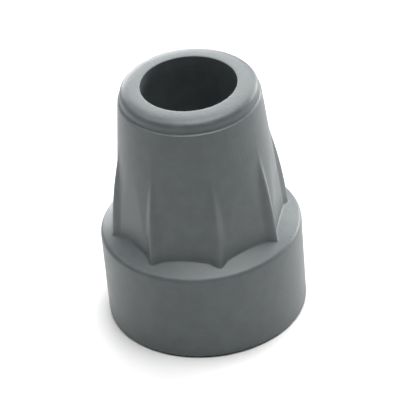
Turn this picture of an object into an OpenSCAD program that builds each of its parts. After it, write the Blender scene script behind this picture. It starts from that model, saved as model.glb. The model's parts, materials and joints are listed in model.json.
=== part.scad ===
// Rubber cane tip: a one-piece moulded ferrule that is pushed over the end of a walking cane.
// The origin is the centre of the flat foot, and the socket opens upwards along +Z.

/* [Overall] */
// Height from the floor to the top of the rim
overall_h = 52; // [44:0.5:64]
// Diameter of the foot at its upper edge, before that edge is rounded
base_d = 40; // [38:0.5:50]

/* [Foot] */
// How much narrower the foot is at the floor than at its upper edge, so that it leaves the mould
foot_draft = 0.4; // [0:0.1:2]
// Height of the foot's side wall, up to the edge of the shoulder
base_h = 19; // [12:0.5:23]
// Rounding between the side wall and the underside
floor_round = 0.8; // [0.3:0.1:1.5]
// Width of the shoulder, from the foot's edge in to the cone
shoulder_w = 3.5; // [2:0.1:5]
// Slope of the shoulder, in degrees above level
shoulder_slope = 24; // [5:1:35]
// Rounding of the edge between the side wall and the shoulder
shoulder_round = 1; // [0.3:0.1:2]

/* [Socket] */
// Diameter of the socket, which is that of the cane
bore_d = 19; // [14:0.5:22]
// Depth of the socket below the top of the rim
bore_depth = 36; // [20:1:43]

/* [Rim] */
// Wall of the socket at the rim
rim_wall = 4.2; // [3:0.1:5]
// Height of the rim above the ledge
rim_h = 2.6; // [1.5:0.1:5]
// Radius of the rim's rounded outer edge
rim_round = 2.5; // [0.5:0.1:3]
// Width of the ledge where the rim sits back from the cone
ledge_w = 0.3; // [0.1:0.1:1]

/* [Cone] */
// Number of flats around the cone, and of ribs between them
rib_count = 8; // [5:1:10]
// Depth of each flat below the round of the cone, at the shoulder
flat_depth = 0.6; // [0.2:0.1:1]
// Distance from the ledge down to where the flats begin
flat_start = 13.5; // [6:0.5:20]

/* [Ribs] */
// Height of a rib above the cone
rib_h = 1.3; // [0.6:0.1:2]
// Height above the cone that a rib's sharp ridge would reach at the shoulder
rib_rise = 1.85; // [1:0.05:2.5]
// Angle between the two flanks of a rib
rib_angle = 90; // [60:5:120]
// Distance from the ledge down to where the ribs begin
rib_start = 8.5; // [4:0.5:16]

/* [Hidden] */
$fn = 96;

base_r = base_d / 2;
floor_r = (base_d - foot_draft) / 2;
bore_r = bore_d / 2;
rim_r = bore_r + rim_wall;
rim_fillet = min(rim_round, rim_h, rim_wall);
neck_r = rim_r + ledge_w;
ledge_z = overall_h - rim_h;
// The cone's round radius where it meets the shoulder
cone_r = base_r - shoulder_w;
shoulder_z = base_h + shoulder_w * tan(shoulder_slope);
cone_fall = ledge_z - shoulder_z;
// How far a part reaches inside its neighbour, so that the two are one solid
lap = 2;
// How far a rounding stands proud of its tangent lines, so that it always meets them
hair = 0.001;

// Radius of the round cone at height z
function cone_at(z) = neck_r + (cone_r - neck_r) * (ledge_z - z) / cone_fall;

// The foot and its shoulder, with rounded edges at the floor and at the shoulder
module foot() {
    inner_r = cone_r - 2 * lap;
    wall_lean = atan((base_r - floor_r) / (base_h - floor_round));
    edge_angle = 90 - wall_lean + shoulder_slope;
    edge_cut = shoulder_round / tan(edge_angle / 2);
    wall_top = [base_r - edge_cut * sin(wall_lean), base_h - edge_cut * cos(wall_lean)];
    rotate_extrude() {
        polygon([
            [0, 0],
            [floor_r - floor_round, 0],
            [floor_r - floor_round, floor_round],
            [floor_r, floor_round],
            wall_top,
            [base_r - edge_cut * cos(shoulder_slope), base_h + edge_cut * sin(shoulder_slope)],
            [inner_r, base_h + (base_r - inner_r) * tan(shoulder_slope)],
            [0, base_h]
        ]);
        translate([floor_r - floor_round, floor_round])
            circle(r = floor_round);
        translate(wall_top + (shoulder_round - hair) * [-cos(wall_lean), sin(wall_lean)])
            circle(r = shoulder_round);
    }
}

// The round cone between two heights, stood out from its true surface by grow
module round_cone(z_low, z_high, grow = 0) {
    translate([0, 0, z_low])
        cylinder(r1 = cone_at(z_low) + grow, r2 = cone_at(z_high) + grow, h = z_high - z_low);
}

// One block that pares the cone to a flat, tilted so that the flat fades out upwards
module flat_cut() {
    start_z = ledge_z - flat_start;
    start_r = cone_at(start_z);
    tilt = atan((cone_r - flat_depth - start_r) / (start_z - shoulder_z));
    translate([start_r, 0, start_z])
        rotate([0, -tilt, 0])
            translate([0, -base_r, -overall_h])
                cube([base_r, base_d, 2 * overall_h]);
}

// One rib: a sharp leaning ridge, blunted where it would stand above rib_h
module rib() {
    start_z = ledge_z - rib_start;
    foot_z = shoulder_z - lap;
    rise = rib_rise * (start_z - foot_z) / (start_z - shoulder_z);
    foot_r = cone_at(foot_z) + rise;
    lean = atan((foot_r - cone_at(start_z)) / (start_z - foot_z));
    root = rib_rise + lap;
    root_w = root * tan(rib_angle / 2);
    intersection() {
        translate([foot_r, 0, foot_z])
            rotate([0, -lean, 0])
                linear_extrude(height = (start_z + lap - foot_z) / cos(lean))
                    polygon([[0, 0], [-root, root_w], [-root, -root_w]]);
        round_cone(foot_z, ledge_z, rib_h);
    }
}

// The cone with its flats, and a rib at each corner between them
module ribbed_cone() {
    difference() {
        round_cone(shoulder_z - lap, ledge_z);
        for (i = [0 : rib_count - 1])
            rotate([0, 0, (i + 0.5) * 360 / rib_count])
                flat_cut();
    }
    for (i = [0 : rib_count - 1])
        rotate([0, 0, i * 360 / rib_count])
            rib();
}

// The rim around the mouth of the socket, with a rounded outer edge
module rim() {
    fillet_r = rim_r - rim_fillet;
    fillet_z = overall_h - rim_fillet;
    rotate_extrude() {
        translate([0, ledge_z - lap])
            square([rim_r, fillet_z - ledge_z + lap]);
        translate([0, ledge_z])
            square([fillet_r, rim_h]);
        translate([fillet_r, fillet_z])
            circle(r = rim_fillet);
    }
}

// The socket that takes the end of the cane
module socket() {
    translate([0, 0, overall_h - bore_depth])
        cylinder(r = bore_r, h = bore_depth + lap);
}

module rubber_tip() {
    color("#7b7f82")
        difference() {
            union() {
                foot();
                ribbed_cone();
                rim();
            }
            socket();
        }
}

rubber_tip();
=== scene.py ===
"""The looks of a rubber cane tip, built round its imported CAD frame.

The tip is one moulding: a wide round foot, a sloping shoulder, a cone with flats and ribs, a ledge and a
rounded rim round a blind socket. It is drawn as one closed surface, a profile carried round the socket's axis
whose radius swells at the ribs and sinks at the flats.
"""
import json
import math

import bpy
import numpy as np
from bpy.props import FloatProperty, IntProperty, PointerProperty, StringProperty
from bpy.types import Operator, Panel, PropertyGroup
from mathutils import Matrix, Vector


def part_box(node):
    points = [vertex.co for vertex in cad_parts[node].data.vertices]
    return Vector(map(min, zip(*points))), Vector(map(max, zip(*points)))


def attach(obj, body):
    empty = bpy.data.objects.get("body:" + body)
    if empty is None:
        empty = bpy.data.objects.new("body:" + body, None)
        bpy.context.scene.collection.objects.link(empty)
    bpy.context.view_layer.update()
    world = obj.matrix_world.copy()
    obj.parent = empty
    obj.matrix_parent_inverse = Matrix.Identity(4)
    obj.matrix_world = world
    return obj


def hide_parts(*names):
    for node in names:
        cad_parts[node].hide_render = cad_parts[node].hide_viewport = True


bl_info = {
    "name": "Rubber cane tip",
    "version": (1, 0, 0),
    "blender": (4, 5, 0),
    "location": "3D View > Sidebar > Cane tip",
    "description": "Builds a moulded rubber cane tip and a plain studio round it",
    "category": "Add Mesh",
}

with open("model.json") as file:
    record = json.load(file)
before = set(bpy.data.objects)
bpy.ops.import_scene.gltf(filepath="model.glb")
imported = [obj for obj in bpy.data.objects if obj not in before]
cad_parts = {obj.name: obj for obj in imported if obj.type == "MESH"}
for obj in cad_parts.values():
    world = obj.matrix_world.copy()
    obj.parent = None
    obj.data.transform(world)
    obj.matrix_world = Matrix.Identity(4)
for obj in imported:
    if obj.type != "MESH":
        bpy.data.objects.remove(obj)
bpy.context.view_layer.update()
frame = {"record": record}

MM = 0.001
NODE = "rubber_tip"
_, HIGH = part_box(NODE)
SOCKET = next(m for m in frame["record"]["mounts"] if m["kind"] == "bore")
# Radius of the foot's upper edge before that edge is rounded, to a tenth of a millimetre
FOOT_R = round(max(HIGH.x, HIGH.y), 4)


def length(name, description, millimetres):
    """A property that holds a length, given here in millimetres."""
    return FloatProperty(
        name=name,
        description=description,
        default=millimetres * MM,
        min=0,
        subtype="DISTANCE",
        unit="LENGTH",
    )


def angle(name, description, degrees):
    """A property that holds an angle, given here in degrees."""
    return FloatProperty(
        name=name,
        description=description,
        default=math.radians(degrees),
        subtype="ANGLE",
        unit="ROTATION",
    )


def hex_colour(name, description, value):
    """A property that holds a colour as an sRGB hex value."""
    return StringProperty(name=name, description=f"{description}, as an sRGB hex value", default=value)


class TipShape(PropertyGroup):
    """Sizes of the moulding that the frame does not give."""

    columns: IntProperty(name="Columns", description="Points in each row round the tip", default=640, min=64)
    foot_draft: length("Foot draft", "How much smaller the foot's radius is at the floor", 0.2)
    base_h: length("Side wall", "Height of the foot's side wall", 19)
    floor_round: length("Floor rounding", "Rounding between the side wall and the underside", 0.8)
    shoulder_w: length("Shoulder", "Width of the shoulder, in to the cone", 3.5)
    shoulder_slope: angle("Shoulder slope", "Slope of the shoulder", 24)
    shoulder_round: length("Shoulder rounding", "Rounding of the shoulder's outer edge", 1.1)
    cone_fillet: length("Cone fillet", "Inner rounding where the cone stands on the shoulder", 0.3)
    rim_wall: length("Rim wall", "Wall of the socket at the rim", 4.15)
    rim_h: length("Rim height", "Height of the rim above the ledge", 2.6)
    rim_curve_h: length("Rim curve", "Height of the rounded part of the rim", 2.1)
    rim_fullness: FloatProperty(
        name="Rim fullness",
        description="How square the rim is: 2 is an ellipse, more is squarer",
        default=3.2,
        min=2,
    )
    socket_round: length("Socket rounding", "Rounding round the socket's floor", 0.8)
    mouth_round: length("Mouth rounding", "Rounding of the socket's mouth", 0.15)
    ledge_w: length("Ledge", "Width of the ledge under the rim", 0.45)
    ledge_drop: length("Ledge drop", "How far the ledge slopes down outwards", 0.22)
    ledge_round: length("Ledge rounding", "Rounding of the ledge's outer edge", 0.08)
    count: IntProperty(name="Ribs", description="Number of ribs, a flat between each two", default=8, min=3)
    flat_depth: length("Flat depth", "How far a flat is pared below the round of the cone", 0.6)
    flat_start: length("Flat start", "How far below the ledge the flats begin", 13.5)
    flat_soft: length("Flat softness", "How softly a flat turns into the round of the cone", 0.12)
    rib_h: length("Rib height", "Height of a rib above the cone", 1.3)
    rib_power: FloatProperty(name="Rib power", description="How steeply a rib starts", default=2.5, min=1)
    rib_start: length("Rib start", "How far below the ledge the ribs begin", 11.4)
    rib_nose: length("Rib nose", "Rounding along the ridge of a rib", 0.5)
    rib_soft: length("Rib softness", "How softly a rib's flanks run out into the flats", 0.4)
    rib_angle: angle("Rib angle", "Angle between a rib's flanks", 90)


class TipFinish(PropertyGroup):
    """Colours and grain of the rubber."""

    rubber_hex: hex_colour("Rubber", "Colour of the rubber", "#515758")
    bloom_hex: hex_colour("Bloom", "Colour where a little wax has bloomed", "#575D5F")
    roughness: FloatProperty(
        name="Roughness", description="Roughness of the moulded surface", default=0.42, min=0, max=1
    )
    roughness_spread: FloatProperty(
        name="Roughness spread",
        description="How far the roughness goes to either side, dullest in the bloom",
        default=0.03,
        min=0,
        max=1,
    )
    patch: length("Bloom patch", "Width of the faint patches of bloom", 3)
    grain: length("Grain", "Width of the fine grain left by the mould", 0.45)
    grain_depth: length("Grain depth", "How deep the fine grain is", 0.05)


class CaneTipStudio(PropertyGroup):
    """The floor and the camera."""

    floor_hex: hex_colour("Floor", "Colour of the floor", "#E1E1E1")
    floor_r: length("Floor radius", "Radius of the round floor", 600)
    azimuth: angle("Azimuth", "How far the camera stands round the tip", -9.5)
    elevation: angle("Elevation", "How high the camera looks down from", 35.33)
    roll: angle("Roll", "How far the camera is tipped to one side", 5.22)
    distance: length("Distance", "Distance from the camera to the tip", 800)
    aim_height: length("Aim height", "Height of the point that the camera looks at", 24.17)
    aim_side: length("Aim side", "How far that point lies to the right of the axis", 0.18)
    frame_width: length("Frame width", "Width of what the camera takes in at the tip", 79.06)


class CaneTipSettings(PropertyGroup):
    """All the settings of the tip and its studio."""

    shape: PointerProperty(type=TipShape)
    finish: PointerProperty(type=TipFinish)
    studio: PointerProperty(type=CaneTipStudio)


# How many rows of points each stretch of the profile has.
ROWS = {
    "socket_floor": 3,
    "socket_corner": 6,
    "socket_wall": 8,
    "mouth": 5,
    "rim": 36,
    "rim_side": 2,
    "ledge": 1,
    "ledge_edge": 4,
    "cone": 46,
    "cone_fillet": 6,
    "shoulder": 4,
    "shoulder_edge": 9,
    "side_wall": 8,
    "floor_edge": 7,
    "underside": 4,
}
# The rounding of the ledge starts this many degrees above level, because the ledge slopes down to it.
LEDGE_EDGE_START = 70
# Each pass brings the place where the cone's wall meets the shoulder nearer to both.
CORNER_PASSES = 12


def soft_max(a, b, soft):
    """The larger of a and b, rounded over where they cross.

    It is half of a plus b plus the root of (a - b) squared plus soft squared.
    """
    return (a + b + np.sqrt((a - b) ** 2 + soft**2)) / 2


def soft_min(a, b, soft):
    """The smaller of a and b, rounded over where they cross."""
    return -soft_max(-a, -b, soft)


def shares_between(rows):
    """A column of evenly spread shares of a stretch, both its ends left out."""
    return np.linspace(0, 1, rows + 2)[1:-1, None]


def shares_to_end(rows):
    """A column of evenly spread shares of a stretch, its start left out."""
    return np.linspace(0, 1, rows + 1)[1:, None]


def arc(centre, radius, start, end, rows):
    """Radii and heights along a circular arc, its angles in degrees from outwards towards up."""
    turn = np.radians(np.linspace(start, end, rows))[:, None]
    return centre[0] + radius * np.cos(turn), centre[1] + radius * np.sin(turn)


def line(start, end, rows):
    """Radii and heights spread evenly along a straight line, its ends left out."""
    share = shares_between(rows)
    return start[0] + (end[0] - start[0]) * share, start[1] + (end[1] - start[1]) * share


def parabola(start, corner, end, t):
    """The curve that leaves start towards corner and comes into end from it, as t goes from 0 to 1.

    It is start times (1 - t) squared, plus twice corner times t times (1 - t), plus end times t squared.
    """
    return start * (1 - t) ** 2 + 2 * corner * t * (1 - t) + end * t**2


def rim_curve(start, end, fullness, rows):
    """The rim's outside, a quarter of a superellipse from the flat of its top down to its side.

    The share of the width to the power fullness, and the share of the height to the same power, add up to
    one. The points are spread by an angle whose sine and cosine, to the power two over fullness, are those
    two shares. The start is left out, because the rounding of the mouth ends there.
    """
    turn = shares_to_end(rows) * np.pi / 2
    out, up = np.sin(turn) ** (2 / fullness), np.cos(turn) ** (2 / fullness)
    return start[0] + (end[0] - start[0]) * out, end[1] + (start[1] - end[1]) * up


class TipSizes:
    """Every radius and height of the tip's profile, worked out from its shape settings and the CAD frame."""

    def __init__(self, shape):
        self.shape = shape
        self.top = HIGH.z
        self.bore_r = SOCKET["dims"]["r_mm"] * MM
        self.bore_floor = self.top - SOCKET["dims"]["length_mm"] * MM
        self.rim_r = self.bore_r + shape.rim_wall
        self.neck_r = self.rim_r + shape.ledge_w
        self.ledge_z = self.top - shape.rim_h
        self.neck_z = self.ledge_z - shape.ledge_drop - shape.ledge_round
        self.cone_r = FOOT_R - shape.shoulder_w
        self.shoulder_z = shape.base_h + shape.shoulder_w * math.tan(shape.shoulder_slope)
        self.lean = math.atan(shape.foot_draft / (shape.base_h - shape.floor_round))
        corner = math.pi / 2 + shape.shoulder_slope - self.lean
        self.edge_cut = shape.shoulder_round / math.tan(corner / 2)
        self.edge_r = FOOT_R - self.edge_cut * math.cos(shape.shoulder_slope)

    def cone(self, z):
        """Radius of the plain round cone: it widens in a straight line from the neck to the shoulder."""
        fall = (self.ledge_z - z) / (self.ledge_z - self.shoulder_z)
        return self.neck_r + (self.cone_r - self.neck_r) * fall

    def shoulder(self, r):
        """Height of the shoulder's slope at radius r."""
        return self.shape.base_h + (FOOT_R - r) * math.tan(self.shape.shoulder_slope)

    def wall_top(self):
        """Where the shoulder's rounded outer edge turns into the side wall."""
        cut = self.edge_cut
        return FOOT_R - cut * math.sin(self.lean), self.shape.base_h - cut * math.cos(self.lean)

    def edge_centre(self):
        """Centre of the outer edge's rounding, square to the side wall from its top."""
        r, z = self.wall_top()
        rounding = self.shape.shoulder_round
        return r - rounding * math.cos(self.lean), z + rounding * math.sin(self.lean)

    def grown(self, z, start):
        """How far a feature that begins start below the ledge has come down at height z, as a share.

        It is 0 where the feature begins, 1 at the shoulder, and less than 0 above its beginning.
        """
        start_z = self.ledge_z - start
        return (start_z - z) / (start_z - self.shoulder_z)

    def wall(self, turn, z):
        """Radius of the cone's wall at angle turn and height z.

        The round cone is cut by one leaning plane for each flat, at the smaller of the two radii. Each rib is
        a tent over the cone: its ridge rises at first steeply and then levels off, as one minus a falling
        power of the way still to go, and its flanks fall away in proportion to the distance from the ridge.
        The wall is the larger of the pared cone and the tent.
        """
        shape = self.shape
        pitch = 2 * np.pi / shape.count
        from_rib = (turn + pitch / 2) % pitch - pitch / 2
        round_r = self.cone(z)

        start_r = self.cone(self.ledge_z - shape.flat_start)
        deepest = self.cone_r - shape.flat_depth
        plane = start_r + (deepest - start_r) * self.grown(z, shape.flat_start)
        plane = plane / np.cos(pitch / 2 - np.abs(from_rib))
        pared = soft_min(round_r, plane, shape.flat_soft)

        to_go = 1 - self.grown(z, shape.rib_start)
        ridge = shape.rib_h * (1 - np.sign(to_go) * np.abs(to_go) ** shape.rib_power)
        across = round_r * np.sin(from_rib)
        flank = (np.hypot(across, shape.rib_nose) - shape.rib_nose) / math.tan(shape.rib_angle / 2)
        return soft_max(pared, round_r + ridge - flank, shape.rib_soft)


def socket_and_rim(size):
    """The profile from the socket's floor up its wall, round the mouth and over the rim to the ledge."""
    shape = size.shape
    inner, mouth, edge = shape.socket_round, shape.mouth_round, shape.ledge_round
    curve_z = size.top - shape.rim_curve_h
    floor_r, wall_z = size.bore_r - inner, size.bore_floor + inner
    mouth_r = size.bore_r + mouth
    edge_r = size.neck_r - edge
    return [
        line((0, size.bore_floor), (floor_r, size.bore_floor), ROWS["socket_floor"]),
        arc((floor_r, wall_z), inner, -90, 0, ROWS["socket_corner"]),
        line((size.bore_r, wall_z), (size.bore_r, size.top - mouth), ROWS["socket_wall"]),
        arc((mouth_r, size.top - mouth), mouth, 180, 90, ROWS["mouth"]),
        rim_curve((mouth_r, size.top), (size.rim_r, curve_z), shape.rim_fullness, ROWS["rim"]),
        line((size.rim_r, curve_z), (size.rim_r, size.ledge_z), ROWS["rim_side"]),
        line((size.rim_r, size.ledge_z), (edge_r, size.neck_z + edge), ROWS["ledge"]),
        arc((edge_r, size.neck_z), edge, LEDGE_EDGE_START, 0, ROWS["ledge_edge"]),
    ]


def cone_and_shoulder(size, turn):
    """The cone's wall at every angle, and the shoulder's slope out to its rounded edge.

    Where the wall meets the slope, a row of curves bends from one into the other: each is a parabola drawn
    towards the corner between them. The ledge slopes down to a point just wider than the cone, and that extra
    radius fades out of the wall over the height of the rim.
    """
    shape = size.shape
    corner_r = np.full(len(turn), size.cone_r)
    for _ in range(CORNER_PASSES):
        corner_r = size.wall(turn, size.shoulder(corner_r))
    corner_z = size.shoulder(corner_r)

    bend_z = corner_z + shape.cone_fillet
    wall_z = size.neck_z + (bend_z - size.neck_z) * shares_to_end(ROWS["cone"])
    faded = np.minimum((size.neck_z - wall_z) / shape.rim_h, 1)
    wall_r = size.wall(turn, wall_z) + (size.neck_r - size.cone(size.neck_z)) * (1 - faded)

    bend_r = size.wall(turn, bend_z)
    out_r = corner_r + shape.cone_fillet * math.cos(shape.shoulder_slope)
    t = shares_to_end(ROWS["cone_fillet"])
    fillet_r = parabola(bend_r, corner_r, out_r, t)
    fillet_z = parabola(bend_z, corner_z, size.shoulder(out_r), t)

    slope_r = out_r + (size.edge_r - out_r) * shares_between(ROWS["shoulder"])
    return [(wall_r, wall_z), (fillet_r, fillet_z), (slope_r, size.shoulder(slope_r))]


def foot(size):
    """The profile from the shoulder's rounded edge down the side wall and under the foot to the axis."""
    shape = size.shape
    slope, lean = math.degrees(shape.shoulder_slope), math.degrees(size.lean)
    floor_r, rounding = FOOT_R - shape.foot_draft, shape.floor_round
    under_r = floor_r - rounding
    return [
        arc(size.edge_centre(), shape.shoulder_round, 90 - slope, -lean, ROWS["shoulder_edge"]),
        line(size.wall_top(), (floor_r, rounding), ROWS["side_wall"]),
        arc((under_r, rounding), rounding, 0, -90, ROWS["floor_edge"]),
        line((under_r, 0), (0, 0), ROWS["underside"]),
    ]


def tip_grid(size, turn):
    """Radius and height of every point of the tip, one row for each step along its profile."""
    stretches = socket_and_rim(size) + cone_and_shoulder(size, turn) + foot(size)
    full = [[np.broadcast_to(values, (len(values), len(turn))) for values in pair] for pair in stretches]
    return np.vstack([radius for radius, _ in full]), np.vstack([height for _, height in full])


def closed_surface(name, turn, radius, height, first_z, last_z):
    """A closed mesh from radii and heights carried round the Z axis, with a point on the axis at each end.

    A point at angle a has X = radius times cos a and Y = radius times sin a. Rows run from the inside of the
    socket outwards and down, so each face lists its corners to point away from the rubber.
    """
    rows, columns = radius.shape
    points = np.stack([radius * np.cos(turn), radius * np.sin(turn), height], -1).reshape(-1, 3)
    points = np.vstack([points, [[0, 0, first_z], [0, 0, last_z]]])
    here = np.arange(columns)
    beyond = (here + 1) % columns
    start = (np.arange(rows - 1) * columns)[:, None]
    below = start + columns
    quads = np.stack([start + here, below + here, below + beyond, start + beyond], -1).reshape(-1, 4)
    first, last = rows * columns, rows * columns + 1
    last_row = (rows - 1) * columns
    first_fan = np.stack([np.full(columns, first), here, beyond], -1)
    last_fan = np.stack([np.full(columns, last), last_row + beyond, last_row + here], -1)
    fans = np.vstack([first_fan, last_fan])

    mesh = bpy.data.meshes.new(name)
    mesh.vertices.add(len(points))
    mesh.vertices.foreach_set("co", points.ravel())
    mesh.loops.add(quads.size + fans.size)
    mesh.loops.foreach_set("vertex_index", np.concatenate([quads.ravel(), fans.ravel()]))
    mesh.polygons.add(len(quads) + len(fans))
    starts = np.concatenate([np.arange(len(quads)) * 4, quads.size + np.arange(len(fans)) * 3])
    mesh.polygons.foreach_set("loop_start", starts)
    mesh.update(calc_edges=True)
    mesh.validate()
    mesh.shade_smooth()
    piece = bpy.data.objects.new(name, mesh)
    bpy.context.scene.collection.objects.link(piece)
    return piece


def linear(hex_value):
    """An sRGB hex colour as linear red, green, blue and alpha.

    The sRGB curve is a straight line near black and a power of 2.4 above it.
    """
    parts = [int(hex_value.lstrip("#")[i : i + 2], 16) / 255 for i in (0, 2, 4)]
    return [c / 12.92 if c <= 0.04045 else ((c + 0.055) / 1.055) ** 2.4 for c in parts] + [1.0]


# A Mix node's sockets share names between kinds of data, so its colour sockets are told apart by number.
MIX_FACTOR, MIX_FIRST, MIX_SECOND, MIX_RESULT = 0, 6, 7, 2
# Rubber's index of refraction, and its specular level, set a little under the usual 0.5 for a duller sheen.
RUBBER_IOR = 1.5
RUBBER_SPECULAR = 0.4
# Detail of the noise, and the stretch of its values over which plain rubber turns into bloom.
NOISE_DETAIL = 3.0
PATCH_LOW, PATCH_HIGH = 0.3, 0.7


def add_node(tree, kind, links=None, **settings):
    """Adds a node of that kind. Links maps an input's name or number to a value or another node's output."""
    node = tree.nodes.new(kind)
    for key, value in settings.items():
        setattr(node, key, value)
    for key, value in (links or {}).items():
        if isinstance(value, bpy.types.NodeSocket):
            tree.links.new(value, node.inputs[key])
        else:
            node.inputs[key].default_value = value
    return node


def moulded_rubber(finish):
    """Grey vulcanised rubber, pressed in a steel mould with a fine eroded skin.

    The eye gets a satin surface: wide soft highlights that follow the flats, with no mirror image in them.
    Wax that comes to the surface as rubber ages leaves faint paler and duller patches a few millimetres
    across. The mould's own grain is a few hundredths of a millimetre wide, too fine to show, so it is drawn
    far coarser.
    """
    material = bpy.data.materials.new("moulded_grey_rubber")
    material.use_nodes = True
    tree = material.node_tree
    tree.nodes.clear()
    place = add_node(tree, "ShaderNodeTexCoord").outputs["Object"]
    patches = add_node(
        tree, "ShaderNodeTexNoise", {"Vector": place, "Scale": 1 / finish.patch, "Detail": NOISE_DETAIL}
    )
    bloom = add_node(
        tree,
        "ShaderNodeMapRange",
        {"Value": patches.outputs["Fac"], "From Min": PATCH_LOW, "From Max": PATCH_HIGH},
        interpolation_type="SMOOTHSTEP",
    ).outputs["Result"]
    colour = add_node(
        tree,
        "ShaderNodeMix",
        {MIX_FACTOR: bloom, MIX_FIRST: linear(finish.rubber_hex), MIX_SECOND: linear(finish.bloom_hex)},
        data_type="RGBA",
    )
    smooth, dull = finish.roughness - finish.roughness_spread, finish.roughness + finish.roughness_spread
    roughness = add_node(tree, "ShaderNodeMapRange", {"Value": bloom, "To Min": smooth, "To Max": dull})
    grain = add_node(
        tree, "ShaderNodeTexNoise", {"Vector": place, "Scale": 1 / finish.grain, "Detail": NOISE_DETAIL}
    )
    bump = add_node(
        tree,
        "ShaderNodeBump",
        {"Height": grain.outputs["Fac"], "Strength": 1.0, "Distance": finish.grain_depth},
    )
    shader = add_node(
        tree,
        "ShaderNodeBsdfPrincipled",
        {
            "Base Color": colour.outputs[MIX_RESULT],
            "Roughness": roughness.outputs["Result"],
            "IOR": RUBBER_IOR,
            "Specular IOR Level": RUBBER_SPECULAR,
            "Normal": bump.outputs["Normal"],
        },
    )
    add_node(tree, "ShaderNodeOutputMaterial", {"Surface": shader.outputs["BSDF"]})
    return material


class CANETIP_OT_tip(Operator):
    """Builds the moulded rubber tip in place of its CAD solid"""

    bl_idname = "canetip.tip"
    bl_label = "Rubber tip"

    def execute(self, context):
        settings = context.scene.cane_tip
        size = TipSizes(settings.shape)
        turn = np.linspace(0, 2 * np.pi, settings.shape.columns, endpoint=False)
        radius, height = tip_grid(size, turn)
        piece = closed_surface("moulded_tip", turn, radius, height, size.bore_floor, 0)
        piece.data.materials.append(moulded_rubber(settings.finish))
        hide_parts(NODE)
        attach(piece, "root")
        return {"FINISHED"}


# Each soft panel: its name, azimuth and elevation in degrees, width and height in metres, and brightness.
SOFTBOXES = (
    ("back_left_panel", 185, 12, 0.7, 0.4, 10.7),
    ("back_right_panel", 120, 12, 0.7, 0.4, 13.0),
    ("back_softbox", 152, 38, 0.9, 0.7, 5.0),
    ("top_softbox", 85, 80, 0.75, 0.75, 7.6),
    ("front_softbox", 350, 76, 0.7, 0.7, 2.6),
    ("left_softbox", 250, 56, 0.55, 0.55, 3.3),
)
FLOOR_SIDES = 128
CARD_ROUGHNESS = 0.9
# The camera sees from a tenth of its distance to ten times as far.
CLIP_FACTOR = 10


def away(azimuth, elevation):
    """The direction from the tip towards something at that azimuth and elevation, one long."""
    return Vector(
        (
            math.sin(azimuth) * math.cos(elevation),
            -math.cos(azimuth) * math.cos(elevation),
            math.sin(elevation),
        )
    )


def build_floor(studio):
    """A flat round floor of matt pale card, which takes the tip's soft shadow and has no highlight."""
    bpy.ops.mesh.primitive_circle_add(vertices=FLOOR_SIDES, radius=studio.floor_r, fill_type="NGON")
    floor = bpy.context.object
    floor.name = "pale_floor"
    material = bpy.data.materials.new("pale_card")
    material.use_nodes = True
    shader = material.node_tree.nodes["Principled BSDF"]
    shader.inputs["Base Color"].default_value = linear(studio.floor_hex)
    shader.inputs["Roughness"].default_value = CARD_ROUGHNESS
    floor.data.materials.append(material)


def build_light():
    """Soft panels a metre from the tip, facing it, and a plain white room that only the camera sees.

    A panel's power is its brightness times pi times the area of its ellipse.
    """
    for name, azimuth, elevation, width, height, brightness in SOFTBOXES:
        place = away(math.radians(azimuth), math.radians(elevation))
        light = bpy.data.lights.new(name, "AREA")
        light.shape = "ELLIPSE"
        light.size, light.size_y = width, height
        area = math.pi * width * height / 4
        light.energy = brightness * math.pi * area
        panel = bpy.data.objects.new(name, light)
        panel.matrix_world = Matrix.Translation(place) @ place.to_track_quat("Z", "Y").to_matrix().to_4x4()
        panel.visible_camera = False
        bpy.context.scene.collection.objects.link(panel)
    world = bpy.data.worlds.new("white_room")
    bpy.context.scene.world = world
    world.use_nodes = True
    world.cycles_visibility.diffuse = False
    world.cycles_visibility.glossy = False
    world.node_tree.nodes["Background"].inputs["Color"].default_value = (1, 1, 1, 1)


def build_camera(scene, studio):
    """A long lens aimed at the middle of the tip, tipped a little to one side."""
    forward = -away(studio.azimuth, studio.elevation)
    right = Vector((math.cos(studio.azimuth), math.sin(studio.azimuth), 0))
    up = right.cross(forward)
    aim = right * studio.aim_side + Vector((0, 0, studio.aim_height))
    axes = Matrix((right, up, -forward)).transposed() @ Matrix.Rotation(-studio.roll, 3, "Z")
    data = bpy.data.cameras.new("studio_camera")
    data.lens = data.sensor_width * studio.distance / studio.frame_width
    data.clip_start = studio.distance / CLIP_FACTOR
    data.clip_end = studio.distance * CLIP_FACTOR
    camera = bpy.data.objects.new("studio_camera", data)
    camera.matrix_world = Matrix.Translation(aim - forward * studio.distance) @ axes.to_4x4()
    scene.collection.objects.link(camera)
    scene.camera = camera


class CANETIP_OT_studio(Operator):
    """Sets a pale floor, soft studio light and the camera round the tip"""

    bl_idname = "canetip.studio"
    bl_label = "Studio"

    def execute(self, context):
        studio = context.scene.cane_tip.studio
        build_floor(studio)
        build_light()
        build_camera(context.scene, studio)
        context.scene.view_settings.view_transform = "Standard"
        return {"FINISHED"}


STEPS = (CANETIP_OT_tip, CANETIP_OT_studio)


class CANETIP_PT_panel(Panel):
    """Lists the steps that build the tip and its studio"""

    bl_label = "Cane tip"
    bl_idname = "CANETIP_PT_panel"
    bl_space_type = "VIEW_3D"
    bl_region_type = "UI"
    bl_category = "Cane tip"

    def draw(self, context):
        for step in STEPS:
            self.layout.operator(step.bl_idname)


CLASSES = (TipShape, TipFinish, CaneTipStudio, CaneTipSettings, *STEPS, CANETIP_PT_panel)


def register():
    for cls in CLASSES:
        bpy.utils.register_class(cls)
    bpy.types.Scene.cane_tip = PointerProperty(type=CaneTipSettings)


def unregister():
    del bpy.types.Scene.cane_tip
    for cls in reversed(CLASSES):
        bpy.utils.unregister_class(cls)


def main():
    register()
    bpy.ops.canetip.tip()
    bpy.ops.canetip.studio()


if __name__ == "__main__":
    main()
